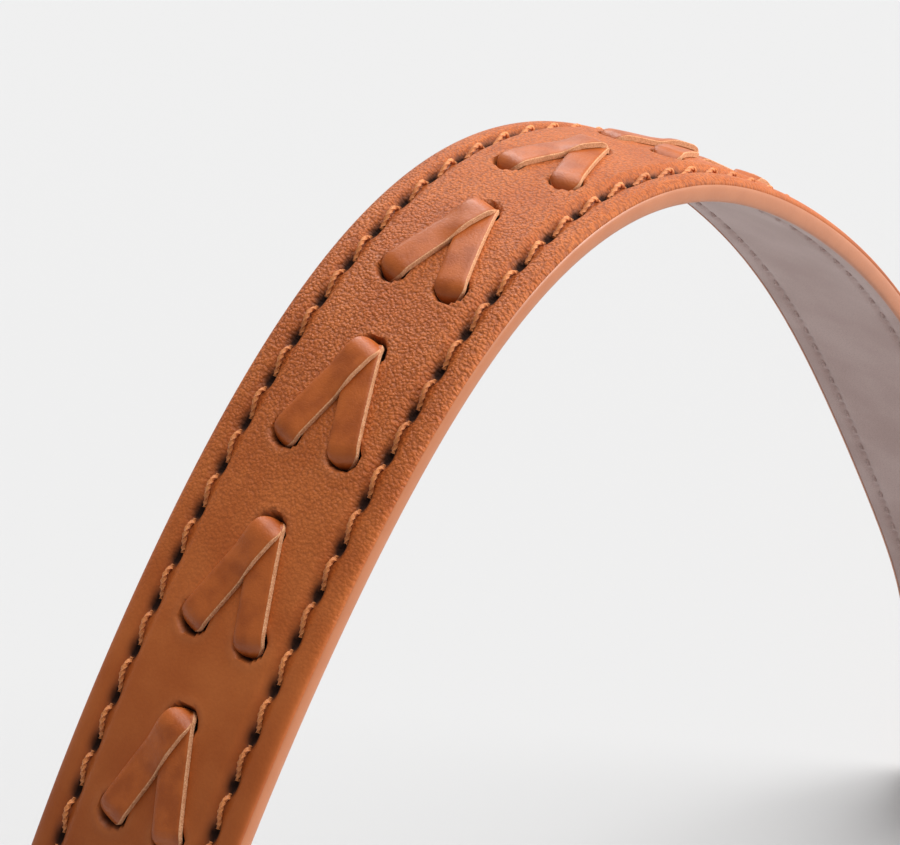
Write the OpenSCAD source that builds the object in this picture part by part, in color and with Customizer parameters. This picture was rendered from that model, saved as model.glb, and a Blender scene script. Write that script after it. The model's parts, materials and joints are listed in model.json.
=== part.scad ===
// Leather headband: a laced and stitched strap bent into an open arch over a spring-steel strip.
// The arch stands on its two tips: X runs from tip to tip, Y across the strap, Z up.

/* [Arch] */
// Length of the outer surface from the crown to either tip
half_length = 155; // [150:1:160]
// Angle that each side of the crown turns through
crown_turn = 42; // [38:1:44]
// Length over which the crown turns
crown_reach = 21.5; // [20:0.5:26]
// Angle that the strap turns through at each shoulder
shoulder_turn = 21; // [18:1:24]
// Distance along the strap from the crown to the middle of a shoulder
shoulder_at = 56; // [52:1:60]
// Length over which a shoulder turns
shoulder_reach = 25; // [20:1:30]
// Angle that the strap turns through above each tip
tip_turn = 25; // [24:1:34]
// Distance along the strap from the crown to the middle of the turn above a tip
tip_at = 131; // [128:1:134]
// Length over which the turn above a tip runs
tip_reach = 13; // [12:1:18]

/* [Strap] */
// Width of the strap, painted edges included
strap_width = 15; // [14:0.5:18]
// Radius of the corners at the tips
tip_radius = 4; // [3:0.5:5]
// Thickness of the painted bead on each cut edge
paint_thick = 0.3; // [0.2:0.05:0.4]
// Thickness of the face leather
leather_thick = 0.75; // [0.6:0.05:0.9]
// Thickness of the filler strips and of the lace
filler_thick = 0.5; // [0.4:0.05:0.6]
// Thickness of the spring steel
core_thick = 0.3; // [0.25:0.05:0.4]
// Width of the spring steel
core_width = 8; // [6:0.5:8.5]
// Thickness of the lining
lining_thick = 0.55; // [0.4:0.05:0.7]

/* [Lacing] */
// Number of V crossings on each half of the strap
v_count = 11; // [8:1:11]
// Distance from one V to the next
v_pitch = 13.4; // [13:0.1:13.4]
// Distance along the strap from the two lower holes of a V to its point
v_height = 7; // [6:0.1:8]
// Half the distance between the two lower holes of a V
v_half_width = 2.3; // [2:0.1:2.6]
// Distance from the centre line to the point of a V, towards the front edge
v_offset = 0.4; // [0:0.1:0.5]
// Width of the lace
lace_width = 2; // [1.6:0.1:2.1]
// Diameter of the punched lace holes
lace_hole = 2.2; // [2:0.1:2.4]

/* [Stitching] */
// Length of one stitch
stitch_pitch = 3.3; // [3:0.1:3.6]
// Distance from the centre line to each stitch row
stitch_row = 5.4; // [5.3:0.05:5.5]
// Diameter of the thread
thread_diameter = 0.5; // [0.4:0.05:0.55]

/* [Hidden] */
$fn = 32;

LEFT = -1;
RIGHT = 1;
clear = 0.02;
flex_gap = 0.3;
cut_at = flex_gap / 2;
step = 2.5;

// Depths below the raised face of the leather, layer by layer
filler_top = leather_thick;
core_top = filler_top + filler_thick;
lining_top = core_top + core_thick;
strap_thick = lining_top + lining_thick;
groove_depth = 0.45;
rim_depth = 0.3;
paint_top = leather_thick - 0.1;
pressed_depth = (groove_depth + filler_top) / 2;

// Half widths of the raised middle, the stitch groove and the cut leather
raised_half = 4.85;
groove_half = 5.95;
leather_half = strap_width / 2 - paint_thick;
filler_inner = v_half_width + v_offset + lace_width / 2 + 0.2;

guard_from = half_length - 8;
core_end = half_length - 5;
guard_end = half_length - 3.5;
raised_end = guard_end + clear;
paint_end = half_length - tip_radius - 1;
first_v = -9.4;
first_back_hole = -0.3;
first_front_hole = 1.3;
stitch_run = stitch_pitch - 0.9;
row_end = half_length - 6;
row_count = ceil(row_end / stitch_pitch);
tip_row_at = half_length - 2.6;

leather_colour = [0.60, 0.31, 0.15];
paint_colour = [0.80, 0.50, 0.35];
lining_colour = [0.55, 0.48, 0.46];
lace_colour = [0.55, 0.25, 0.10];
thread_colour = [0.76, 0.47, 0.27];

function tanh(u) = 1 - 2 / (exp(2 * u) + 1);

// Share of a turn that a distance s has passed, where one turn lies on each side of the crown
function turned(s, middle, reach) = (tanh((s - middle) / reach) + tanh((s + middle) / reach)) / 2;

// Slope of the strap, in degrees below horizontal, at a distance s along it from the crown
function slope(s) = crown_turn * turned(s, 0, crown_reach)
    + shoulder_turn * turned(s, shoulder_at, shoulder_reach)
    + tip_turn * turned(s, tip_at, tip_reach);

// Walk down one half of the arch in half-millimetre steps
walk = 0.5;
walk_count = ceil((half_length + 4) / walk);
arch = [
    for (i = 0, x = 0, drop = 0; i <= walk_count;
        x = x + walk * cos(slope((i + 0.5) * walk)),
        drop = drop + walk * sin(slope((i + 0.5) * walk)),
        i = i + 1)
    [i * walk, x, drop]
];
arch_x = [for (a = arch) [a[0], a[1]]];
arch_drop = [for (a = arch) [a[0], a[2]]];
height = lookup(half_length, arch_drop);

// A point of the side view, at a distance along the strap and a depth below its face
function at(s, depth) = [
    sign(s) * lookup(abs(s), arch_x) - depth * sin(slope(s)),
    height - lookup(abs(s), arch_drop) - depth * cos(slope(s))
];

function stations(from, to) = let (n = ceil((to - from) / step))
    [for (i = [0:n]) from + (to - from) * i / n];

// One layer of a half: between two depths, two Y values and two distances from the crown
module layer(side, depths, ys, from, to) {
    run = stations(from, to);
    outer = [for (s = run) at(side * s, depths[0])];
    inner = [for (i = [len(run) - 1:-1:0]) at(side * run[i], depths[1])];
    translate([0, ys[1], 0])
        rotate([90, 0, 0])
            linear_extrude(height = ys[1] - ys[0])
                polygon(concat(outer, inner));
}

// Moves its children to a point of the strap, with X along it and Z out of its face
module on_strap(s, y, depth) {
    p = at(s, depth);
    translate([p[0], y, p[1]])
        rotate([0, slope(s), 0])
            children();
}

// The outline of the strap in Y and Z, with rounded corners at the floor
module tip_outline(half_width) {
    rotate([90, 0, 90])
        translate([0, 0, -150])
            linear_extrude(height = 300) {
                translate([-half_width, tip_radius])
                    square([2 * half_width, height]);
                translate([tip_radius - half_width, 0])
                    square([2 * (half_width - tip_radius), 2 * tip_radius]);
                for (y = [tip_radius - half_width, half_width - tip_radius])
                    translate([y, tip_radius])
                        circle(tip_radius);
            }
}

// The three holes of a V whose lower holes are at a distance s: front, back and point
function front_hole(s) = [s, -v_offset - v_half_width];
function back_hole(s) = [s, v_half_width - v_offset];
function point_hole(s) = [s + v_height, -v_offset];

// Distances to the lower holes of the V crossings on one half
function v_starts(side) = side == RIGHT
    ? [for (i = [1:v_count]) first_v + i * v_pitch]
    : [for (i = [0:v_count - 1]) first_v - i * v_pitch];

module outer_leather(side) {
    color(leather_colour)
        difference() {
            intersection() {
                union() {
                    layer(side, [groove_depth, lining_top], [-leather_half, leather_half],
                        cut_at, half_length + 1);
                    layer(side, [0, pressed_depth], [-raised_half, raised_half], cut_at, raised_end);
                    for (ys = [[groove_half, leather_half], [-leather_half, -groove_half]])
                        layer(side, [rim_depth, pressed_depth], ys, cut_at, half_length + 1);
                }
                tip_outline(leather_half);
            }
            layer(side, [filler_top, lining_top + 1], [-raised_half, raised_half],
                cut_at - 1, raised_end);
            for (s = v_starts(side))
                for (hole = [front_hole(s), back_hole(s), point_hole(s)])
                    on_strap(hole[0], hole[1], filler_top + 0.5)
                        cylinder(d = lace_hole, h = 2);
        }
}

module filler_strips(side) {
    color("tan")
        for (ys = [[filler_inner, raised_half - clear], [clear - raised_half, -filler_inner]])
            layer(side, [filler_top + clear, core_top - clear], ys, cut_at, guard_from - clear);
}

module spring_core(side) {
    color("silver")
        layer(side, [core_top, lining_top - clear], [-core_width / 2, core_width / 2], cut_at, core_end);
}

module core_tip_guard(side) {
    guard_half = core_width / 2 + 0.7;
    color("black")
        difference() {
            layer(side, [filler_top + clear, lining_top - clear], [-guard_half, guard_half],
                guard_from, guard_end);
            layer(side, [core_top - clear, lining_top + 1],
                [-core_width / 2 - clear, core_width / 2 + clear], guard_from - 1, core_end + clear);
        }
}

module lining(side) {
    color(lining_colour)
        intersection() {
            layer(side, [lining_top, strap_thick], [-leather_half, leather_half], cut_at, half_length + 1);
            tip_outline(leather_half);
        }
}

module edge_paint(side, face) {
    near = leather_half + clear;
    far = strap_width / 2;
    color(paint_colour)
        layer(side, [paint_top, strap_thick], face > 0 ? [near, far] : [-far, -near],
            cut_at, paint_end);
}

// A straight run of lace from one point of the strap to another, in short lengths
module lace_run(from, to, depth, thick) {
    pieces = 5;
    run = to - from;
    bit = norm(run) / pieces;
    for (i = [0:pieces - 1]) {
        mid = from + run * (i + 0.5) / pieces;
        on_strap(mid[0], mid[1], depth)
            rotate([0, 0, atan2(run[1], run[0])])
                translate([-bit / 2 - 0.1, -lace_width / 2, 0])
                    cube([bit + 0.2, lace_width, thick]);
    }
}

module v_lace(side) {
    plug = lace_hole - 0.3;
    thick = filler_thick - 2 * clear;
    crossing = 0.1;
    starts = v_starts(side);
    color(lace_colour)
        for (i = [0:len(starts) - 1]) {
            front = front_hole(starts[i]);
            back = back_hole(starts[i]);
            point = point_hole(starts[i]);
            lace_run(front, point, -clear, thick);
            lace_run(back, point, -clear - crossing, thick);
            lace_run(front, point, core_top - clear, thick - crossing);
            for (hole = [front, back, point])
                on_strap(hole[0], hole[1], core_top - clear)
                    cylinder(d = plug, h = core_top + filler_thick * 0.8);
            if (i < len(starts) - 1)
                lace_run(side == RIGHT ? point : back,
                    side == RIGHT ? back_hole(starts[i + 1]) : point_hole(starts[i + 1]),
                    core_top - clear - crossing / 2, thick - crossing);
        }
}

// Middles of the stitches of one row on one half, clear of the cut at the crown
function stitch_middles(side, first_hole) = [
    for (k = [-row_count:row_count])
        let (s = first_hole + (k + 0.5) * stitch_pitch)
            if (side * s > cut_at + stitch_run / 2 && side * s < row_end) s
];

// One stitch: a short length of thread along or across the strap
module stitch(s, y, depth, turn) {
    on_strap(s, y, depth)
        rotate([0, 90, turn])
            translate([0, 0, -stitch_run / 2])
                cylinder(d = thread_diameter, h = stitch_run);
}

// Both long rows and the short row across the tip
module thread_rows(side, depth) {
    color(thread_colour) {
        for (s = stitch_middles(side, first_back_hole))
            stitch(s, stitch_row, depth, 0);
        for (s = stitch_middles(side, first_front_hole))
            stitch(s, -stitch_row, depth, 0);
        for (y = [-stitch_pitch, 0, stitch_pitch])
            stitch(side * tip_row_at, y, depth, 90);
    }
}

module needle_thread(side) {
    thread_rows(side, groove_depth - thread_diameter / 2 - clear);
}

module bobbin_thread(side) {
    thread_rows(side, strap_thick + thread_diameter / 2 + clear);
}

outer_leather(LEFT);  // outer_leather_left
outer_leather(RIGHT);  // outer_leather_right
filler_strips(LEFT);  // filler_strips_left
filler_strips(RIGHT);  // filler_strips_right
spring_core(LEFT);  // spring_core_left
spring_core(RIGHT);  // spring_core_right
core_tip_guard(LEFT);  // core_tip_guard_left
core_tip_guard(RIGHT);  // core_tip_guard_right
lining(LEFT);  // lining_left
lining(RIGHT);  // lining_right
edge_paint(LEFT, -1);  // edge_paint_front_left
edge_paint(RIGHT, -1);  // edge_paint_front_right
edge_paint(LEFT, 1);  // edge_paint_back_left
edge_paint(RIGHT, 1);  // edge_paint_back_right
v_lace(LEFT);  // v_lace_left
v_lace(RIGHT);  // v_lace_right
needle_thread(LEFT);  // needle_thread_left
needle_thread(RIGHT);  // needle_thread_right
bobbin_thread(LEFT);  // bobbin_thread_left
bobbin_thread(RIGHT);  // bobbin_thread_right
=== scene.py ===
import json
import math

import bmesh
import bpy
import numpy as np
from mathutils import Matrix, Vector


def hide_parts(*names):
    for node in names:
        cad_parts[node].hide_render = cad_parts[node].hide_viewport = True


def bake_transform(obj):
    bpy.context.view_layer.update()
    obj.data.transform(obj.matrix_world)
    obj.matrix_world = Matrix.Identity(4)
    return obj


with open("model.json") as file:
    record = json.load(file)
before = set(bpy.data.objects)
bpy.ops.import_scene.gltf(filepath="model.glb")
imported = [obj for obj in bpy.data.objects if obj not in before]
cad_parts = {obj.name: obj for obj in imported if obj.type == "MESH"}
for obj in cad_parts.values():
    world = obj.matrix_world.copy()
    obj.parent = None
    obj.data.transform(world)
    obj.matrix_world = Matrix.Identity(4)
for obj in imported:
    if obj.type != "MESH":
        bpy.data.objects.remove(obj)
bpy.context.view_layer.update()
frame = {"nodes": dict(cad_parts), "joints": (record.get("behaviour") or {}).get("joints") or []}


# Camera: a long lens that looks down one arm of the band towards its crown, from in front and to
# the left, turned a little on its own axis. It stands well back, so the strap hardly tapers.
MM = 0.001
crown_height = frame["joints"][0]["pos_m"][2]
camera_from = Vector((-136.5, -101.7, 108.1)) * MM
camera_azimuth = math.radians(-51.96)
camera_elevation = math.radians(36.77)
camera_roll = math.radians(-2.64)

camera = bpy.data.objects.new("camera", bpy.data.cameras.new("camera"))
camera.data.sensor_width = 36
camera.data.lens = 119.6
camera.data.clip_start = 0.01
camera.data.clip_end = 20
backwards = Vector((
    math.sin(camera_azimuth) * math.cos(camera_elevation),
    -math.cos(camera_azimuth) * math.cos(camera_elevation),
    math.sin(camera_elevation),
))
turn = backwards.to_track_quat("Z", "Y").to_matrix() @ Matrix.Rotation(camera_roll, 3, "Z")
camera.matrix_world = Matrix.Translation(Vector((0, 0, crown_height)) + camera_from) @ turn.to_4x4()
bpy.context.collection.objects.link(camera)
bpy.context.scene.camera = camera


# Face leather: one long strap of vegetable-tanned cowhide with a pebbled grain, punched for the
# lace. It is glued over the filler and the steel, so its middle stands up, and it is pressed down
# along the two stitch rows and rolled over at its cut edges.
half_length = 155.0 * MM
crown_turn, crown_reach = math.radians(42), 21.5 * MM
shoulder_turn, shoulder_at, shoulder_reach = math.radians(21), 56 * MM, 25 * MM
tip_turn, tip_at, tip_reach = math.radians(25), 131 * MM, 13 * MM

strap_half = 7.5 * MM
paint_thick = 0.12 * MM
leather_half = strap_half - paint_thick
leather_end = half_length - paint_thick
corner = 3.8 * MM
stitch_row = 5.4 * MM
stitch_inset = leather_half - stitch_row
stitch_pitch = 3.3 * MM
first_hole = {"back": -0.3 * MM, "front": 1.3 * MM}
tip_stitch_pitch = 3.4 * MM

v_count = 22
v_pitch = 13.4 * MM
v_height = 7.0 * MM
v_half = 2.3 * MM
v_offset = 0.4 * MM
first_v = -9.4 * MM - 10 * v_pitch

# Small steps down half the strap, from the crown to just past the tip.
walk = np.arange(0, half_length + 8 * MM, 0.25 * MM)


def turned(along, middle, reach):
    """Share of a turn that is passed at a distance along the strap, with one turn on each side."""
    return (np.tanh((along - middle) / reach) + np.tanh((along + middle) / reach)) / 2


def slope(along):
    """How far the strap has turned below level, in radians, at a distance along it from the crown."""
    return (crown_turn * turned(along, 0, crown_reach)
            + shoulder_turn * turned(along, shoulder_at, shoulder_reach)
            + tip_turn * turned(along, tip_at, tip_reach))


half_steps = slope((walk[1:] + walk[:-1]) / 2)
walk_x = np.concatenate([[0], np.cumsum(np.cos(half_steps) * np.diff(walk))])
walk_drop = np.concatenate([[0], np.cumsum(np.sin(half_steps) * np.diff(walk))])


def lay_on_arch(flat):
    """Bends points of the flat strap (along it, across it, above its face) round the arch."""
    along, across, lift = flat[:, 0], flat[:, 1], flat[:, 2]
    x = np.sign(along) * np.interp(abs(along), walk, walk_x)
    drop = np.interp(abs(along), walk, walk_drop)
    fall = slope(along)
    return np.column_stack([x + lift * np.sin(fall), across, crown_height - drop + lift * np.cos(fall)])


def ease(x):
    """Rises smoothly from 0 at 0 to 1 at 1."""
    x = np.clip(x, 0, 1)
    return x * x * (3 - 2 * x)


def inset(along, across, end, half, radius):
    """Distance in from the outline of the flat strap, a long rectangle with rounded corners."""
    past_end = abs(along) - (end - radius)
    past_side = abs(across) - (half - radius)
    outside = np.hypot(np.maximum(past_end, 0), np.maximum(past_side, 0))
    return radius - outside - np.minimum(np.maximum(past_end, past_side), 0)


def half_width(along, end, half, radius):
    """Half the strap's width at a distance from the crown, narrowing round the corners of the tips."""
    past = np.clip(abs(along) - (end - radius), 0, radius)
    return half - radius + np.sqrt(radius ** 2 - past ** 2)


def needle_holes():
    """Where the needle goes through: both long rows, then three holes across each tip."""
    holes = []
    straight = leather_end - corner
    for side, row in (("back", stitch_row), ("front", -stitch_row)):
        count = int((straight + first_hole[side]) // stitch_pitch)
        start = first_hole[side] - count * stitch_pitch
        while start < straight:
            holes.append((start, row))
            start += stitch_pitch
    for end in (-1, 1):
        last = end * (leather_end - stitch_inset)
        holes += [(last, y) for y in (-tip_stitch_pitch, 0, tip_stitch_pitch)]
    return np.array(holes)


def lace_holes():
    """The front, back and point hole of every V."""
    starts = first_v + v_pitch * np.arange(v_count)
    return np.concatenate([
        np.column_stack([starts, np.full(v_count, -v_offset - v_half)]),
        np.column_stack([starts, np.full(v_count, v_half - v_offset)]),
        np.column_stack([starts + v_height, np.full(v_count, -v_offset)]),
    ])


def add(tree, kind, inputs=None, **settings):
    """Adds a node. An input that is given another node's socket is linked to it."""
    made = tree.nodes.new(kind)
    for name, value in settings.items():
        setattr(made, name, value)
    for key, value in (inputs or {}).items():
        if isinstance(value, bpy.types.NodeSocket):
            tree.links.new(value, made.inputs[key])
        else:
            made.inputs[key].default_value = value
    return made


def finish_material(name, shader_values):
    """A material with its shader's even values set. Returns it, its node tree and its shader."""
    material = bpy.data.materials.new(name)
    material.use_nodes = True
    shader = material.node_tree.nodes["Principled BSDF"]
    for socket, value in shader_values.items():
        shader.inputs[socket].default_value = value
    return material, material.node_tree, shader


def strap_millimetres(tree, stretch=(1, 1, 1)):
    """The piece's own map, which holds millimetres along the strap and across it."""
    spread = add(tree, "ShaderNodeUVMap", uv_map="strap")
    return add(tree, "ShaderNodeMapping", {"Vector": spread.outputs[0], "Scale": stretch}).outputs[0]


def steps(tree, value, low, high, to_low=0.0, to_high=1.0):
    """Rescales a value from one range to another, smoothly and held at both ends."""
    made = add(tree, "ShaderNodeMapRange", {"Value": value, "From Min": low, "From Max": high,
                                            "To Min": to_low, "To Max": to_high})
    made.interpolation_type = "SMOOTHSTEP"
    return made.outputs[0]


def sums(tree, operation, first, second=0.0):
    """One sum on one or two values, such as ADD or MULTIPLY."""
    return add(tree, "ShaderNodeMath", {0: first, 1: second}, operation=operation).outputs[0]


def mixed(tree, share, first, second):
    """Mixes two colours by a share."""
    made = add(tree, "ShaderNodeMix", data_type="RGBA")
    for index, value in ((0, share), (6, first), (7, second)):
        if isinstance(value, bpy.types.NodeSocket):
            tree.links.new(value, made.inputs[index])
        else:
            made.inputs[index].default_value = value if index == 0 else (*value, 1)
    return made.outputs[2]


def noise(tree, place, scale, detail, roughness=0.5):
    """An even noise pattern, nearly all of it between 0.3 and 0.7."""
    return add(tree, "ShaderNodeTexNoise", {"Vector": place, "Scale": scale, "Detail": detail,
                                            "Roughness": roughness}).outputs["Fac"]


def bumpy(tree, shader, height, strength, distance):
    """Raises a height pattern on the surface."""
    bump = add(tree, "ShaderNodeBump", {"Height": height, "Strength": strength, "Distance": distance})
    tree.links.new(bump.outputs[0], shader.inputs["Normal"])


def face_leather_material():
    """Cognac cowhide: fine wrinkled pebbles at the crown, smoother down the arms, with painted shade that
    darkens the arms away from the crown.
    """
    material, tree, shader = finish_material("cognac_grain_leather", {"Specular IOR Level": 0.3})
    place = strap_millimetres(tree)
    wander = add(tree, "ShaderNodeTexNoise", {"Vector": place, "Scale": 2.4, "Detail": 3})
    bent = add(tree, "ShaderNodeMix", {0: 0.16, 4: place, 5: wander.outputs["Color"]},
               data_type="VECTOR").outputs[1]
    pebble = add(tree, "ShaderNodeTexVoronoi", {"Vector": bent, "Scale": 5.2, "Smoothness": 0.2},
                 feature="SMOOTH_F1").outputs["Distance"]
    wrinkle = noise(tree, bent, 4.2, 3, 0.55)
    pores = noise(tree, place, 6.0, 3, 0.6)
    mottle = noise(tree, place, 0.20, 5, 0.6)
    height = sums(tree, "SUBTRACT", wrinkle, sums(tree, "MULTIPLY", pebble, 0.8))
    height = sums(tree, "ADD", height, sums(tree, "MULTIPLY", pores, 0.35))
    from_crown = sums(tree, "ABSOLUTE", add(tree, "ShaderNodeSeparateXYZ", {0: place}).outputs[0])
    grain_starts_to_go, grain_gone = 12.0, 42.0
    arm_shade_starts, arm_shade_full = 20.0, 82.0
    grainy = steps(tree, from_crown, grain_starts_to_go, grain_gone, 1.0, 0.07)

    cognac, saddle_brown = (0.54, 0.143, 0.029), (0.45, 0.104, 0.017)
    crease_shade_brown, arm_shade_brown = (0.19, 0.040, 0.009), (0.185, 0.038, 0.006)
    hole_shade_black, lip_highlight_tan = (0.020, 0.006, 0.003), (0.50, 0.20, 0.08)
    hide = mixed(tree, steps(tree, mottle, 0.3, 0.7), cognac, saddle_brown)
    # Painted shade: the low places of the grain are darkened, as if shade lay in the creases.
    crease_shade = sums(tree, "MULTIPLY", steps(tree, height, 0.05, 0.48, 0.50, 0.0), grainy)
    hide = mixed(tree, crease_shade, hide, crease_shade_brown)
    # Painted shade: the colour darkens from the crown down both arms, standing in for light that falls off
    # there.
    hide = mixed(tree, steps(tree, from_crown, arm_shade_starts, arm_shade_full, 0.0, 0.9), hide, arm_shade_brown)
    # Painted shade: the needle slits and lace holes are mixed towards near black, standing in for the
    # shade inside them.
    hole_shade = add(tree, "ShaderNodeAttribute", attribute_name="painted_hole_shade").outputs["Fac"]
    hide = mixed(tree, hole_shade, hide, hole_shade_black)
    # Painted highlight: the raised lip round each lace hole is mixed a little paler, as if it caught the
    # light.
    pale = add(tree, "ShaderNodeAttribute", attribute_name="painted_lip_highlight").outputs["Fac"]
    hide = mixed(tree, sums(tree, "MULTIPLY", pale, 0.12), hide, lip_highlight_tan)
    tree.links.new(hide, shader.inputs["Base Color"])
    rough = sums(tree, "MAXIMUM", steps(tree, pores, 0.3, 0.7, 0.44, 0.60), hole_shade)
    tree.links.new(rough, shader.inputs["Roughness"])
    bumpy(tree, shader, sums(tree, "MULTIPLY", height, grainy), 0.8, 0.15 * MM)
    return material


def solid_piece(name, rings, material, corner_angle=40):
    """A closed solid through rings of flat-strap points, bent round the arch, its ends capped."""
    count, size = rings.shape[:2]
    flat = rings.reshape(-1, 3)
    rows = np.arange(count - 1)[:, None] * size
    ring = np.arange(size)[None, :]
    following = (ring + 1) % size
    sides = np.stack([rows + ring, rows + following, rows + size + following, rows + size + ring], -1)
    faces = sides.reshape(-1, 4).tolist()
    faces.append(list(range(size))[::-1])
    faces.append(list(range((count - 1) * size, count * size)))
    mesh = bpy.data.meshes.new(name)
    mesh.from_pydata(lay_on_arch(flat).tolist(), [], faces)
    map_strap(mesh, flat)
    return dress(name, mesh, material, corner_angle)


def map_strap(mesh, flat):
    """Gives a mesh its own map, in millimetres of the flat strap."""
    layer = mesh.uv_layers.new(name="strap")
    corners = np.empty(len(mesh.loops), dtype=np.int32)
    mesh.loops.foreach_get("vertex_index", corners)
    layer.data.foreach_set("uv", (flat[corners, :2] / MM).astype(np.float32).ravel())


def dress(name, mesh, material, corner_angle):
    """Turns the faces outwards, smooths all but sharp corners and makes the object."""
    shell = bmesh.new()
    shell.from_mesh(mesh)
    bmesh.ops.recalc_face_normals(shell, faces=shell.faces)
    shell.to_mesh(mesh)
    shell.free()
    mesh.polygons.foreach_set("use_smooth", [True] * len(mesh.polygons))
    mesh.set_sharp_from_angle(angle=math.radians(corner_angle))
    if material:
        mesh.materials.append(material)
    piece = bpy.data.objects.new(name, mesh)
    bpy.context.collection.objects.link(piece)
    return piece


def paint_points(piece, name, values):
    """Gives each point of a piece a value that its material can read."""
    layer = piece.data.attributes.new(name, "FLOAT", "POINT")
    layer.data.foreach_set("value", values.ravel().astype(np.float32))


def flex(piece, slot, *nodes):
    """Hides the CAD halves that the piece replaces, across the crown between the two arms, and bakes its
    placement into its mesh.
    """
    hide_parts(*nodes)
    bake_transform(piece)


groove_depth, groove_edge, groove_slope = 0.46 * MM, 2.0 * MM, 1.0 * MM
rim_rise, rim_edge, rim_slope = 0.24 * MM, 1.9 * MM, 0.7 * MM
roll_width, roll_drop = 1.0 * MM, 0.50 * MM
side_fall = 0.06 * MM


def face_lift(along, across):
    """Height of the leather's face: flat middle, stitch groove, low rim and rolled edge."""
    edge = inset(along, across, leather_end, leather_half, corner)
    lift = -groove_depth * (1 - ease((edge - groove_edge) / groove_slope))
    lift += rim_rise * ease((rim_edge - edge) / rim_slope)
    roll = np.clip(1 - edge / roll_width, 0, 1)
    lift -= roll_drop * (1 - np.sqrt(np.maximum(1 - roll ** 2, 0)))
    return lift - side_fall * (across / leather_half) ** 2


# Rows of points along the strap lie closest where the groove, the rim and the rolled edge are.
stations = np.linspace(-leather_end, leather_end, 1030)
middle_rows = np.linspace(-4.25, 4.25, 32) * MM
rolled_rows = [6.5, 6.7, 6.9, 7.05, 7.17, 7.26, 7.33, 7.38]
groove_rows = np.concatenate([np.linspace(4.4, 6.3, 14), rolled_rows]) * MM
face_rows = np.concatenate([-groove_rows[::-1], middle_rows, groove_rows]) / leather_half
# Underneath, both sides go down past the filler and the steel to meet the lining.
face_depth, side_depth = 0.75 * MM, 1.53 * MM
under_rows = np.array([7.0, 4.95, 4.85, -4.85, -4.95, -7.0]) * MM / leather_half
under_lift = -np.array([side_depth, side_depth, face_depth, face_depth, side_depth, side_depth])
widths = half_width(stations, leather_end, leather_half, corner)

face = np.empty((len(stations), len(face_rows) + len(under_rows), 3))
face[:, :, 0] = stations[:, None]
face[:, :, 1] = widths[:, None] * np.concatenate([face_rows, under_rows])[None, :]
top = face[:, :len(face_rows)]
top[:, :, 2] = face_lift(top[:, :, 0], top[:, :, 1])
face[:, len(face_rows):, 2] = under_lift

# The awl leaves short slits along the row, pulled in by the thread. The lace holes are punched round, and
# the lace has pushed up a low lip round each. Slits and holes are marked for painted shade, which the face
# material mixes in near black.
slit_shift, slit_stretch = 0.15 * MM, 2.2
slit_half, slit_depth = 0.32 * MM, 0.38 * MM
pull_reach, pull_depth = 0.7 * MM, 0.08 * MM
punch_radius, punch_wall, punch_depth = 0.98 * MM, 0.24 * MM, 0.72 * MM
lip_radius, lip_half, lip_rise = 1.45 * MM, 0.24 * MM, 0.06 * MM

painted_hole_shade = np.zeros(face.shape[:2])
# Painted highlight: the lip round each lace hole is marked here to be mixed paler.
painted_lip_highlight = np.zeros(face.shape[:2])
top_hole_shade = painted_hole_shade[:, :len(face_rows)]
top_lip_highlight = painted_lip_highlight[:, :len(face_rows)]
for along, across in needle_holes():
    reach = np.hypot((top[:, :, 0] - along - slit_shift) / slit_stretch, top[:, :, 1] - across)
    pit = np.exp(-(reach / slit_half) ** 2)
    top[:, :, 2] -= slit_depth * pit + pull_depth * np.exp(-(reach / pull_reach) ** 2)
    np.maximum(top_hole_shade, np.clip(2.0 * pit, 0, 1), out=top_hole_shade)
for along, across in lace_holes():
    reach = np.hypot(top[:, :, 0] - along, top[:, :, 1] - across)
    pit = 1 - ease((reach - punch_radius) / punch_wall)
    lip = np.exp(-((reach - lip_radius) / lip_half) ** 2)
    top[:, :, 2] += lip_rise * lip - punch_depth * pit
    np.maximum(top_hole_shade, pit, out=top_hole_shade)
    np.maximum(top_lip_highlight, lip, out=top_lip_highlight)

outer_leather = solid_piece("outer_leather", face, face_leather_material(), corner_angle=60)
paint_points(outer_leather, "painted_hole_shade", painted_hole_shade)
paint_points(outer_leather, "painted_lip_highlight", painted_lip_highlight)
flex(outer_leather, "face_leather", "outer_leather_left", "outer_leather_right")


# Lace: one flat thong of smooth leather, cut from the same hide, so its two cut edges are raw and
# pale. It comes up through each lower hole, lies over the face and goes down at the point of the
# V, the back leg on top of the front one, then runs on inside the strap to the next V.
lace_half = 1.06 * MM
lace_thick = 0.46 * MM
lace_nose = 0.85 * MM
lace_bend = 0.55 * MM
lower_dive, point_dive = 1.25 * MM, 1.45 * MM
run_half = lace_half * 0.9
run_top, run_low = 0.78 * MM, 1.22 * MM


def lace_material():
    """The grain side: redder than the face, mottled, with a faint shallow pebble."""
    material, tree, shader = finish_material("smooth_lace_leather", {"Specular IOR Level": 0.4})
    place = add(tree, "ShaderNodeTexCoord").outputs["Object"]
    pores = noise(tree, place, 5200, 4, 0.6)
    mottle = noise(tree, place, 620, 4)
    pebble = add(tree, "ShaderNodeTexVoronoi", {"Vector": place, "Scale": 3300},
                 feature="DISTANCE_TO_EDGE").outputs["Distance"]
    crease = steps(tree, pebble, 0.0, 0.25)
    russet, chestnut = (0.45, 0.106, 0.016), (0.34, 0.072, 0.009)
    hide = mixed(tree, steps(tree, mottle, 0.35, 0.68), russet, chestnut)
    tree.links.new(hide, shader.inputs["Base Color"])
    tree.links.new(steps(tree, pores, 0.3, 0.7, 0.34, 0.50), shader.inputs["Roughness"])
    height = sums(tree, "ADD", sums(tree, "MULTIPLY", crease, 0.4), sums(tree, "MULTIPLY", pores, 0.6))
    bumpy(tree, shader, height, 0.4, 0.03 * MM)
    return material


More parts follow.
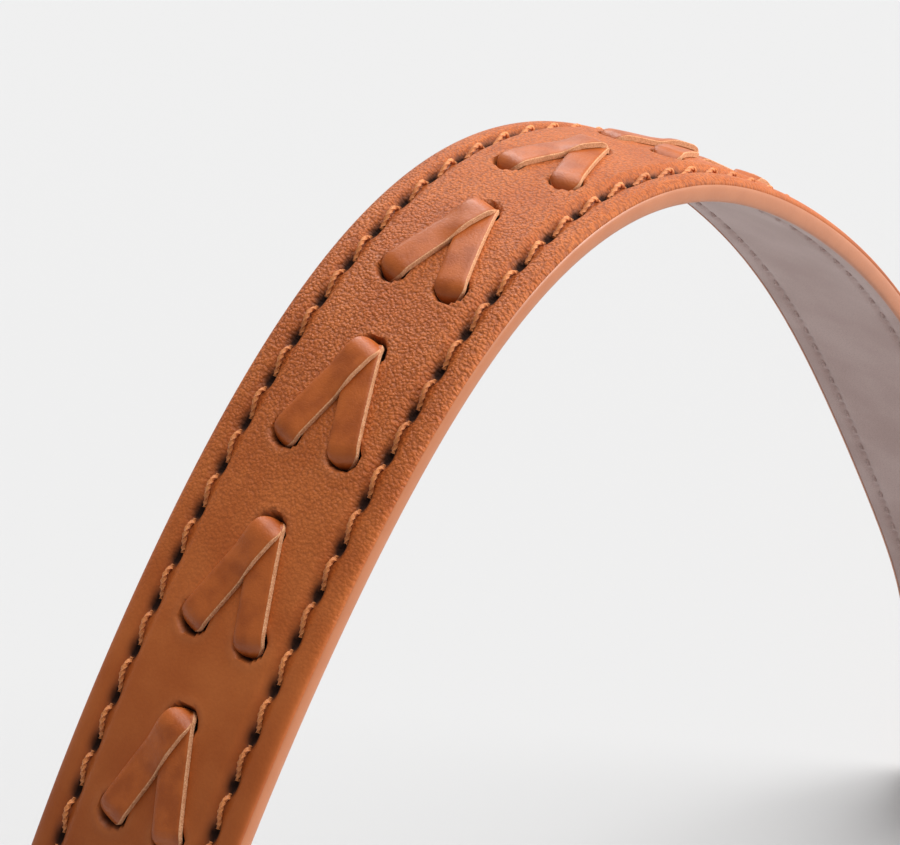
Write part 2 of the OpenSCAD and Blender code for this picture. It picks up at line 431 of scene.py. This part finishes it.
def raw_edge_material():
    """The cut edge: pale undyed fibres, with a little dye soaked in here and there."""
    material, tree, shader = finish_material("raw_cut_leather",
                                             {"Roughness": 0.85, "Specular IOR Level": 0.2})
    place = add(tree, "ShaderNodeTexCoord").outputs["Object"]
    fibres = noise(tree, place, 9000, 5, 0.7)
    patches = noise(tree, place, 1500, 3)
    tan_fibre, pale_fibre, soaked = (0.52, 0.22, 0.10), (0.78, 0.43, 0.235), (0.45, 0.17, 0.065)
    hide = mixed(tree, steps(tree, fibres, 0.35, 0.65), tan_fibre, pale_fibre)
    hide = mixed(tree, steps(tree, patches, 0.5, 0.75, 0.0, 0.6), hide, soaked)
    tree.links.new(hide, shader.inputs["Base Color"])
    bumpy(tree, shader, fibres, 0.8, 0.05 * MM)
    return material


def leg_rings(lower, point, on_top):
    """One leg of a V on the flat strap: a domed ribbon that dives into a round hole at each end."""
    lower, point = np.array(lower), np.array(point)
    length = np.linalg.norm(point - lower)
    ahead = (point - lower) / length
    aside = np.array([-ahead[1], ahead[0]])
    turn_in = lace_nose * np.cos(np.linspace(0, math.pi / 2, 12)[1:])
    bend = np.linspace(0.10, 1.6, 9)[1:] * MM
    ends = np.concatenate([-turn_in, bend])
    gone = np.concatenate([ends, np.linspace(2.0 * MM, length - 2.0 * MM, 8), length - ends[::-1]])
    shape = np.array([(-1, -0.85), (-1, -0.10), (-0.95, -0.01), (-0.7, 0.01), (-0.35, 0.04),
                      (0, 0.05), (0.35, 0.04), (0.7, 0), (0.94, -0.07), (1, -0.22), (1, -0.85),
                      (0.5, -1), (-0.5, -1)])
    rings = np.empty((len(gone), len(shape), 3))
    for ring, distance in zip(rings, gone):
        past = np.clip(max(-distance, distance - length) / lace_nose, 0, 1)
        half = lace_half * math.sqrt(1 - past ** 2) + 0.01 * MM
        across = shape[:, 0] * half
        top = lace_thick * (0.93 + shape[:, 1])
        for past_bend, dive in ((lace_bend - distance, lower_dive),
                                (distance - length + lace_bend, point_dive)):
            share = np.clip(past_bend / (lace_bend + lace_nose), 0, 1)
            top -= dive * (1 - math.sqrt(1 - share ** 2.1))
        if on_top:
            # It climbs on to the other leg, the front side of the ribbon first.
            share = distance / length
            front_side = lace_thick * ease((share - 0.45) / 0.30)
            back_side = lace_thick * 0.8 * ease((share - 0.66) / 0.26)
            top += back_side + (front_side - back_side) * (0.5 - across / lace_half / 2)
        ring[:, :2] = lower + ahead * distance + aside * across[:, None]
        ring[:, 2] = top
    return rings


def hidden_run_rings(start, stop):
    """A run of the lace between the face leather and the steel."""
    start, stop = np.array(start), np.array(stop)
    ahead = (stop - start) / np.linalg.norm(stop - start)
    aside = np.array([-ahead[1], ahead[0]])
    share = np.linspace(0, 1, 9)
    shape = np.array([(-1, -run_top), (1, -run_top), (1, -run_low), (-1, -run_low)])
    rings = np.empty((len(share), len(shape), 3))
    for ring, part in zip(rings, share):
        ring[:, :2] = start + (stop - start) * part + aside * shape[:, :1] * run_half
        ring[:, 2] = shape[:, 1]
    return rings


def flat_mesh(name, parts):
    """A flat-strap mesh of several ringed solids. Faces on the cut edges take the second material."""
    points, faces, cut_edge = [], [], []
    for rings, edge_columns in parts:
        base = len(points)
        count, size = rings.shape[:2]
        points += rings.reshape(-1, 3).tolist()
        for i in range(count - 1):
            for k in range(size):
                a, b = base + i * size + k, base + i * size + (k + 1) % size
                faces.append((a, b, b + size, a + size))
                cut_edge.append(k in edge_columns)
        faces.append(tuple(range(base, base + size))[::-1])
        faces.append(tuple(range(base + (count - 1) * size, base + count * size)))
        cut_edge += [False, False]
    mesh = bpy.data.meshes.new(name)
    mesh.from_pydata(points, [], faces)
    mesh.attributes.new("cut_edge", "BOOLEAN", "FACE").data.foreach_set("value", cut_edge)
    return mesh


def row_tree(name, inputs):
    """A Geometry Nodes tree with named inputs. Returns the tree and its input and output nodes."""
    tree = bpy.data.node_groups.new(name, "GeometryNodeTree")
    tree.interface.new_socket("Geometry", in_out="OUTPUT", socket_type="NodeSocketGeometry")
    for label, (kind, value) in inputs.items():
        socket = tree.interface.new_socket(label, in_out="INPUT", socket_type=kind)
        if value is not None:
            socket.default_value = value
    return tree, tree.nodes.new("NodeGroupInput").outputs, tree.nodes.new("NodeGroupOutput").inputs


def grow(name, tree, values, corner_angle):
    """Runs a tree, keeps its result as a plain mesh and bends that round the arch."""
    holder = bpy.data.objects.new(name, bpy.data.meshes.new(name + "_seed"))
    bpy.context.collection.objects.link(holder)
    modifier = holder.modifiers.new("grow", "NODES")
    modifier.node_group = tree
    for item in tree.interface.items_tree:
        if item.name in values:
            modifier[item.identifier] = values[item.name]
    graph = bpy.context.evaluated_depsgraph_get()
    mesh = bpy.data.meshes.new_from_object(holder.evaluated_get(graph))
    bpy.data.objects.remove(holder)
    flat = np.empty(len(mesh.vertices) * 3)
    mesh.vertices.foreach_get("co", flat)
    mesh.vertices.foreach_set("co", lay_on_arch(flat.reshape(-1, 3)).ravel())
    mesh.update()
    return dress(name, mesh, None, corner_angle)


def v_row_tree():
    """A row of V crossings, each turned a hair differently."""
    tree, given, result = row_tree("v_row", {
        "Crossing": ("NodeSocketObject", None),
        "Crossings": ("NodeSocketInt", v_count),
        "First": ("NodeSocketFloat", first_v),
        "Pitch": ("NodeSocketFloat", v_pitch),
        "Turn": ("NodeSocketFloat", math.radians(0.9)),
        "Grain side": ("NodeSocketMaterial", None),
        "Cut edge": ("NodeSocketMaterial", None),
    })
    start = add(tree, "ShaderNodeCombineXYZ", {"X": given["First"]})
    pitch = add(tree, "ShaderNodeCombineXYZ", {"X": given["Pitch"]})
    row = add(tree, "GeometryNodeMeshLine", {"Count": given["Crossings"],
                                             "Start Location": start.outputs[0],
                                             "Offset": pitch.outputs[0]})
    back = add(tree, "ShaderNodeMath", {0: given["Turn"], 1: -1.0}, operation="MULTIPLY")
    chance = add(tree, "FunctionNodeRandomValue", {2: back.outputs[0], 3: given["Turn"], "Seed": 7})
    swing = add(tree, "ShaderNodeCombineXYZ", {"Z": chance.outputs[1]})
    crossing = add(tree, "GeometryNodeObjectInfo", {"Object": given["Crossing"]})
    laid = add(tree, "GeometryNodeInstanceOnPoints", {"Points": row.outputs[0],
                                                      "Instance": crossing.outputs["Geometry"],
                                                      "Rotation": swing.outputs[0]})
    real = add(tree, "GeometryNodeRealizeInstances", {"Geometry": laid.outputs[0]})
    smooth_side = add(tree, "GeometryNodeSetMaterial", {"Geometry": real.outputs[0],
                                                        "Material": given["Grain side"]})
    cut = add(tree, "GeometryNodeInputNamedAttribute", {"Name": "cut_edge"}, data_type="BOOLEAN")
    cut_side = add(tree, "GeometryNodeSetMaterial", {"Geometry": smooth_side.outputs[0],
                                                     "Selection": cut.outputs[0],
                                                     "Material": given["Cut edge"]})
    tree.links.new(cut_side.outputs[0], result[0])
    return tree


front_hole = (0, -v_offset - v_half)
back_hole = (0, v_half - v_offset)
point_hole = (v_height, -v_offset)
next_back_hole = (v_pitch, v_half - v_offset)
raw_columns = (0, 1, 9, 10, 11, 12)
crossing = bpy.data.objects.new("v_crossing", flat_mesh("v_crossing", [
    (leg_rings(front_hole, point_hole, False), raw_columns),
    (leg_rings(back_hole, point_hole, True), raw_columns),
    (hidden_run_rings(point_hole, front_hole), ()),
    (hidden_run_rings(point_hole, next_back_hole), ()),
]))
bpy.context.collection.objects.link(crossing)
v_lace = grow("v_lace", v_row_tree(), {"Crossing": crossing, "Grain side": lace_material(),
                                       "Cut edge": raw_edge_material()}, corner_angle=50)
bpy.data.objects.remove(crossing)
flex(v_lace, "lace", "v_lace_left", "v_lace_right")


# Filler strips: two narrow strips of bonded fibre board, glued under the face leather on either
# side of the hidden lace, so that the middle of the strap stands up evenly.
def fibre_board_material():
    """Brown board, flecked with paler fibre."""
    material, tree, shader = finish_material("fibre_board", {"Roughness": 0.9})
    place = add(tree, "ShaderNodeTexCoord").outputs["Object"]
    board = mixed(tree, noise(tree, place, 2500, 4), (0.45, 0.34, 0.22), (0.62, 0.50, 0.34))
    tree.links.new(board, shader.inputs["Base Color"])
    return material


def bar_rings(end, low_y, high_y, top_depth, low_depth, count=260):
    """A plain bar of the flat strap between two Y values and two depths."""
    shape = np.array([(low_y, -top_depth), (high_y, -top_depth),
                      (high_y, -low_depth), (low_y, -low_depth)])
    rings = np.empty((count, 4, 3))
    rings[:, :, 0] = np.linspace(-end, end, count)[:, None]
    rings[:, :, 1:] = shape[None]
    return rings


fibre_board = fibre_board_material()
filler_end = half_length - 8.05 * MM
filler_inner, filler_outer = 4.2 * MM, 4.83 * MM
filler_top, filler_low = 0.77 * MM, 1.23 * MM
for side, low_y, high_y in (("front", -filler_outer, -filler_inner), ("back", filler_inner, filler_outer)):
    strip = solid_piece("filler_strip_" + side,
                        bar_rings(filler_end, low_y, high_y, filler_top, filler_low), fibre_board)
    flex(strip, "filler", "filler_strips_left", "filler_strips_right")


# Spring core: a strip of blue-tempered spring steel, the part that grips the head. It is rolled to
# the arch and glued between the filler and the lining.
def spring_steel_material():
    """Blue-grey steel with long drawn lines."""
    material, tree, shader = finish_material("spring_steel", {"Metallic": 1.0})
    place = strap_millimetres(tree, (0.02, 6, 1))
    drawn = noise(tree, place, 3.0, 4)
    steel = mixed(tree, drawn, (0.30, 0.32, 0.36), (0.52, 0.54, 0.58))
    tree.links.new(steel, shader.inputs["Base Color"])
    tree.links.new(steps(tree, drawn, 0.3, 0.7, 0.28, 0.42), shader.inputs["Roughness"])
    return material


core_end = half_length - 5 * MM
core_half = 4 * MM
core_top, core_low = 1.25 * MM, 1.53 * MM
spring_core = solid_piece("spring_core", bar_rings(core_end, -core_half, core_half, core_top, core_low),
                          spring_steel_material())
flex(spring_core, "spring_steel", "spring_core_left", "spring_core_right")


# Tip guards: a small dipped cap on each end of the steel, so that its corners can't cut through
# the leather. They are the CAD's own solids with their finish.
def dipped_plastic_material():
    """Soft black plastic, faintly clouded."""
    material, tree, shader = finish_material("dipped_plastic", {"Roughness": 0.55})
    place = add(tree, "ShaderNodeTexCoord").outputs["Object"]
    plastic = mixed(tree, noise(tree, place, 900, 3), (0.010, 0.010, 0.011), (0.030, 0.029, 0.028))
    tree.links.new(plastic, shader.inputs["Base Color"])
    return material


dipped_plastic = dipped_plastic_material()
for side in ("left", "right"):
    guard = frame["nodes"]["core_tip_guard_" + side]
    guard.data.materials.clear()
    guard.data.materials.append(dipped_plastic)


# Lining: thin split leather with a fine matt nap, dull mauve-brown, glued to the back of the strap
# and stitched through with the face. The thread pulls it in along both rows.
lining_depth = 1.55 * MM
strap_depth = 2.1 * MM


def lining_material():
    """A fine nap over slow changes of tone, with painted shade in the needle holes."""
    material, tree, shader = finish_material("lining_nap", {"Sheen Weight": 0.25, "Sheen Roughness": 0.5,
                                                            "Specular IOR Level": 0.3})
    place = strap_millimetres(tree)
    nap = noise(tree, place, 5.5, 5, 0.65)
    cloud = noise(tree, place, 0.12, 3)
    mauve, pale_mauve = (0.385, 0.255, 0.230), (0.470, 0.335, 0.310)
    nap_shade, hole_shade_black = (0.20, 0.13, 0.11), (0.025, 0.015, 0.012)
    split = mixed(tree, steps(tree, cloud, 0.3, 0.7), mauve, pale_mauve)
    split = mixed(tree, steps(tree, nap, 0.3, 0.6, 0.45, 0.0), split, nap_shade)
    hole_shade = add(tree, "ShaderNodeAttribute", attribute_name="painted_hole_shade").outputs["Fac"]
    split = mixed(tree, hole_shade, split, hole_shade_black)
    tree.links.new(split, shader.inputs["Base Color"])
    tree.links.new(steps(tree, nap, 0.3, 0.7, 0.62, 0.8), shader.inputs["Roughness"])
    bumpy(tree, shader, nap, 0.5, 0.04 * MM)
    return material


lining_stations = np.linspace(-leather_end, leather_end, 760)
lining_rows = np.concatenate([[-7.15, -6.7], -np.linspace(6.2, 4.6, 12), np.linspace(-4.2, 4.2, 12),
                              np.linspace(4.6, 6.2, 12), [6.7, 7.15]]) * MM / leather_half
glued_rows = [0.97, -0.97]
lining_widths = half_width(lining_stations, leather_end, leather_half, corner)
lining_rings = np.empty((len(lining_stations), len(lining_rows) + len(glued_rows), 3))
lining_rings[:, :, 0] = lining_stations[:, None]
lining_rings[:, :, 1] = lining_widths[:, None] * np.concatenate([lining_rows, glued_rows])[None, :]
inside = lining_rings[:, :len(lining_rows)]

pulled_in, pulled_half = 0.16 * MM, 0.45 * MM
skived, skived_width = 0.12 * MM, 0.5 * MM
edge = inset(inside[:, :, 0], inside[:, :, 1], leather_end, leather_half, corner)
inside[:, :, 2] = -strap_depth
inside[:, :, 2] += pulled_in * np.exp(-((edge - stitch_inset) / pulled_half) ** 2)
inside[:, :, 2] += skived * ease((skived_width - edge) / skived_width)
lining_rings[:, len(lining_rows):, 2] = -lining_depth

lining_slit_half, lining_slit_depth = 0.30 * MM, 0.20 * MM
# Painted shade: the needle holes in the lining are marked a little darker.
lining_hole_shade = np.zeros(lining_rings.shape[:2])
inside_hole_shade = lining_hole_shade[:, :len(lining_rows)]
for along, across in needle_holes():
    reach = np.hypot(inside[:, :, 0] - along, inside[:, :, 1] - across)
    pit = np.exp(-(reach / lining_slit_half) ** 2)
    inside[:, :, 2] += lining_slit_depth * pit
    np.maximum(inside_hole_shade, 0.2 * pit, out=inside_hole_shade)
lining = solid_piece("lining", lining_rings, lining_material(), corner_angle=60)
paint_points(lining, "painted_hole_shade", lining_hole_shade)
flex(lining, "lining", "lining_left", "lining_right")


# Threads: waxed three-ply thread in a lockstitch, a tan needle thread on the face and a bobbin
# thread that matches the lining. Each stitch lies in the groove, a little askew, and dips at both
# ends where it is pulled down into its hole.
thread_radius = 0.19 * MM
stitch_reach = stitch_pitch - 0.95 * MM
twists = 1.9
lean = {"back": 0.09, "front": 0.05}
corner_stitch_back, corner_stitch_side = 0.6 * MM, 4.85 * MM


def thread_material(name, pale, middling, deep):
    """Fibres from pale to middling, some lengths of the thread a little deeper."""
    material, tree, shader = finish_material(name, {"Specular IOR Level": 0.5, "Sheen Weight": 0.15})
    place = add(tree, "ShaderNodeTexCoord").outputs["Object"]
    fibres = noise(tree, place, 9000, 4, 0.7)
    batch = noise(tree, place, 260, 2)
    dye = mixed(tree, steps(tree, fibres, 0.35, 0.65), middling, pale)
    dye = mixed(tree, steps(tree, batch, 0.4, 0.7, 0.0, 0.5), dye, deep)
    tree.links.new(dye, shader.inputs["Base Color"])
    tree.links.new(steps(tree, fibres, 0.3, 0.7, 0.5, 0.68), shader.inputs["Roughness"])
    bumpy(tree, shader, fibres, 0.5, 0.02 * MM)
    return material


def stitch_row_tree():
    """A row of twisted stitches. Each goes down gently at its first end and steeply at its last."""
    tree, given, result = row_tree("stitch_row", {
        "Stitches": ("NodeSocketInt", 10),
        "First": ("NodeSocketVector", (0, 0, 0)),
        "Pitch": ("NodeSocketVector", (stitch_pitch, 0, 0)),
        "Length": ("NodeSocketFloat", stitch_reach),
        "Radius": ("NodeSocketFloat", thread_radius),
        "Twist": ("NodeSocketFloat", twists * 2 * math.pi),
        "Dip": ("NodeSocketFloat", 0.5 * MM),
        "Gentle end": ("NodeSocketFloat", 0.55),
        "Steep end": ("NodeSocketFloat", 0.30),
        "Heading": ("NodeSocketFloat", 0.0),
        "Thread": ("NodeSocketMaterial", None),
    })
    half = sums(tree, "MULTIPLY", given["Length"], 0.5)
    line = add(tree, "GeometryNodeCurvePrimitiveLine", {
        "Start": add(tree, "ShaderNodeCombineXYZ", {"X": sums(tree, "MULTIPLY", half, -1.0)}).outputs[0],
        "End": add(tree, "ShaderNodeCombineXYZ", {"X": half}).outputs[0]})
    fine = add(tree, "GeometryNodeResampleCurve", {"Curve": line.outputs[0], "Count": 17})
    along = add(tree, "GeometryNodeSplineParameter").outputs["Factor"]
    spin = sums(tree, "MULTIPLY", along, given["Twist"])
    twisted = add(tree, "GeometryNodeSetCurveTilt", {"Curve": fine.outputs[0], "Tilt": spin})
    gentle = steps(tree, along, 0.0, given["Gentle end"])
    steep = steps(tree, sums(tree, "SUBTRACT", 1.0, along), 0.0, given["Steep end"])
    raised = sums(tree, "MINIMUM", gentle, steep)
    down = sums(tree, "MULTIPLY", sums(tree, "SUBTRACT", raised, 1.0), given["Dip"])
    dipped = add(tree, "GeometryNodeSetPosition", {
        "Geometry": twisted.outputs[0],
        "Offset": add(tree, "ShaderNodeCombineXYZ", {"Z": down}).outputs[0]})
    inner = sums(tree, "MULTIPLY", given["Radius"], 0.70)
    plies = add(tree, "GeometryNodeCurveStar", {"Points": 3, "Inner Radius": inner,
                                                "Outer Radius": given["Radius"]})
    tube = add(tree, "GeometryNodeCurveToMesh", {"Curve": dipped.outputs[0],
                                                 "Profile Curve": plies.outputs["Curve"],
                                                 "Fill Caps": True})
    row = add(tree, "GeometryNodeMeshLine", {"Count": given["Stitches"],
                                             "Start Location": given["First"],
                                             "Offset": given["Pitch"]})
    askew = add(tree, "FunctionNodeRandomValue", {2: -0.035, 3: 0.035, "Seed": 3}).outputs[1]
    heading = sums(tree, "ADD", askew, given["Heading"])
    placed = add(tree, "GeometryNodeInstanceOnPoints", {
        "Points": row.outputs[0], "Instance": tube.outputs[0],
        "Rotation": add(tree, "ShaderNodeCombineXYZ", {"Z": heading}).outputs[0]})
    real = add(tree, "GeometryNodeRealizeInstances", {"Geometry": placed.outputs[0]})
    finished = add(tree, "GeometryNodeSetMaterial", {"Geometry": real.outputs[0],
                                                     "Material": given["Thread"]})
    tree.links.new(finished.outputs[0], result[0])
    return tree


def joined(name, parts, material):
    """Joins several pieces into one, all of one material."""
    shell = bmesh.new()
    for part in parts:
        shell.from_mesh(part.data)
    mesh = bpy.data.meshes.new(name)
    shell.to_mesh(mesh)
    shell.free()
    mesh.materials.append(material)
    mesh.polygons.foreach_set("material_index", [0] * len(mesh.polygons))
    for part in parts:
        bpy.data.objects.remove(part)
    piece = bpy.data.objects.new(name, mesh)
    bpy.context.collection.objects.link(piece)
    return piece


def thread_rows(name, lift, dip, waxed):
    """Both long rows, and at each tip the two corner stitches and the two end stitches."""
    tree = stitch_row_tree()
    straight = leather_end - corner
    rows = []
    for side, y in (("back", stitch_row), ("front", -stitch_row)):
        before = int((straight + first_hole[side]) // stitch_pitch)
        after = int((straight - first_hole[side]) // stitch_pitch)
        start = first_hole[side] + (0.5 - before) * stitch_pitch
        rows.append((before + after, start, y, stitch_pitch, 0, lean[side]))
    for end in (-1, 1):
        last = end * (leather_end - stitch_inset)
        rows.append((2, last, -tip_stitch_pitch / 2, 0, tip_stitch_pitch, math.pi / 2))
        for side in (-1, 1):
            rows.append((1, last - end * corner_stitch_back, side * corner_stitch_side, 0, 0,
                         -end * side * math.pi / 4))
    parts = []
    for count, start, y, along, across, heading in rows:
        parts.append(grow(name, tree, {
            "Stitches": count, "First": (start, y, lift), "Pitch": (along, across, 0),
            "Dip": dip, "Heading": heading, "Thread": waxed}, corner_angle=60))
    return joined(name, parts, waxed)


tan_thread = thread_material("tan_thread", pale=(0.84, 0.31, 0.092), middling=(0.60, 0.185, 0.046),
                             deep=(0.46, 0.13, 0.030))
mauve_thread = thread_material("mauve_thread", pale=(0.47, 0.33, 0.30), middling=(0.40, 0.27, 0.245),
                               deep=(0.35, 0.235, 0.21))
needle_thread = thread_rows("needle_thread", lift=-0.22 * MM, dip=0.52 * MM, waxed=tan_thread)
flex(needle_thread, "thread", "needle_thread_left", "needle_thread_right")
bobbin_thread = thread_rows("bobbin_thread", lift=-2.04 * MM, dip=-0.40 * MM, waxed=mauve_thread)
flex(bobbin_thread, "thread", "bobbin_thread_left", "bobbin_thread_right")


# Edge paint: several rubbed coats of flexible paint that close the cut edge of all the layers in
# one smooth rounded bead. It runs in one loop round the whole strap.
def edge_paint_material():
    """Terracotta paint with a soft gloss and a slight ripple left by the rubbing."""
    material, tree, shader = finish_material("edge_paint", {"Coat Weight": 0.25, "Coat Roughness": 0.3})
    place = add(tree, "ShaderNodeTexCoord").outputs["Object"]
    ripple = noise(tree, place, 500, 3)
    speck = noise(tree, place, 4000, 3)
    paint = mixed(tree, steps(tree, ripple, 0.3, 0.7), (0.45, 0.145, 0.050), (0.48, 0.160, 0.058))
    tree.links.new(paint, shader.inputs["Base Color"])
    tree.links.new(steps(tree, speck, 0.3, 0.7, 0.36, 0.46), shader.inputs["Roughness"])
    height = sums(tree, "ADD", ripple, sums(tree, "MULTIPLY", speck, 0.15))
    bumpy(tree, shader, height, 0.12, 0.04 * MM)
    return material


def round_corner(x, y, start):
    """Points round a quarter of a circle, each with its outward direction."""
    turns = start + np.linspace(0, math.pi / 2, 15)[1:-1]
    return [(x + corner * math.cos(a), y + corner * math.sin(a), math.cos(a), math.sin(a)) for a in turns]


def strap_outline():
    """Points round the cut edge of the flat strap, each with its outward direction."""
    straight, side = leather_end - corner, leather_half - corner
    run = np.linspace(-straight, straight, 620)
    across = np.linspace(-side, side, 9)
    points = [(x, -leather_half, 0, -1) for x in run]
    points += round_corner(straight, -side, -math.pi / 2)
    points += [(leather_end, y, 1, 0) for y in across]
    points += round_corner(straight, side, 0)
    points += [(-x, leather_half, 0, 1) for x in run]
    points += round_corner(-straight, side, math.pi / 2)
    points += [(-leather_end, -y, -1, 0) for y in across]
    points += round_corner(-straight, -side, math.pi)
    return np.array(points)


bead_top, bead_low = -0.70 * MM, -2.10 * MM
bead_middle, bead_half = (bead_top + bead_low) / 2, (bead_top - bead_low) / 2
bead_root = -0.25 * MM
bead_fullness = 0.6
bow = np.linspace(-math.pi / 2, math.pi / 2, 15)
bead_out = bead_root + (paint_thick - bead_root) * np.maximum(np.cos(bow), 0) ** bead_fullness
bead_out = np.concatenate([bead_out, [bead_root, bead_root]])
bead_lift = bead_middle + bead_half * np.sin(bow)
bead_lift = np.concatenate([bead_lift, [bead_top - 0.1 * MM, bead_low + 0.1 * MM]])

outline = strap_outline()
size = len(bead_out)
bead = np.empty((len(outline), size, 3))
bead[:, :, :2] = outline[:, None, :2] + outline[:, None, 2:] * bead_out[None, :, None]
bead[:, :, 2] = bead_lift[None, :]
faces = []
for i in range(len(outline)):
    after = (i + 1) % len(outline)
    for k in range(size):
        above = (k + 1) % size
        faces.append((i * size + k, i * size + above, after * size + above, after * size + k))
bead_mesh = bpy.data.meshes.new("edge_paint")
bead_mesh.from_pydata(lay_on_arch(bead.reshape(-1, 3)).tolist(), [], faces)
edge_paint = dress("edge_paint", bead_mesh, edge_paint_material(), corner_angle=70)
flex(edge_paint, "edge_paint", "edge_paint_front_left", "edge_paint_front_right",
     "edge_paint_back_left", "edge_paint_back_right")


# Stage: a plain pale paper floor under soft studio light, with a broad lamp overhead, one to the
# right of the camera for the painted edge and one behind the crown for the sheen of the grain.
floor_half = 12
paper_grey = 0.55
world_light = 0.31


def lamp(name, towards, softness, strength):
    """A far lamp in the given direction. Softness is how wide it looks, in degrees."""
    light = bpy.data.objects.new(name, bpy.data.lights.new(name, "SUN"))
    light.data.angle = math.radians(softness)
    light.data.energy = strength
    light.matrix_world = Vector(towards).to_track_quat("Z", "Y").to_matrix().to_4x4()
    bpy.context.collection.objects.link(light)


lamp("overhead_lamp", towards=(0.36, -0.02, 0.70), softness=54, strength=2.75)
lamp("right_lamp", towards=(0.55, -0.60, 0.26), softness=36, strength=2.8)
lamp("crown_lamp", towards=(0.60, 0.55, 0.41), softness=28, strength=1.2)

world = bpy.context.scene.world or bpy.data.worlds.new("studio")
bpy.context.scene.world = world
world.use_nodes = True
background = world.node_tree.nodes["Background"]
background.inputs["Color"].default_value = (1, 1, 1, 1)
background.inputs["Strength"].default_value = world_light
bpy.context.scene.view_settings.view_transform = "Standard"

floor_mesh = bpy.data.meshes.new("floor")
floor_mesh.from_pydata([(-floor_half, -floor_half, 0), (floor_half, -floor_half, 0),
                        (floor_half, floor_half, 0), (-floor_half, floor_half, 0)], [], [(0, 1, 2, 3)])
floor = bpy.data.objects.new("floor", floor_mesh)
paper = finish_material("backdrop_paper", {
    "Base Color": (paper_grey, paper_grey, paper_grey, 1), "Roughness": 0.9})[0]
floor_mesh.materials.append(paper)
bpy.context.collection.objects.link(floor)
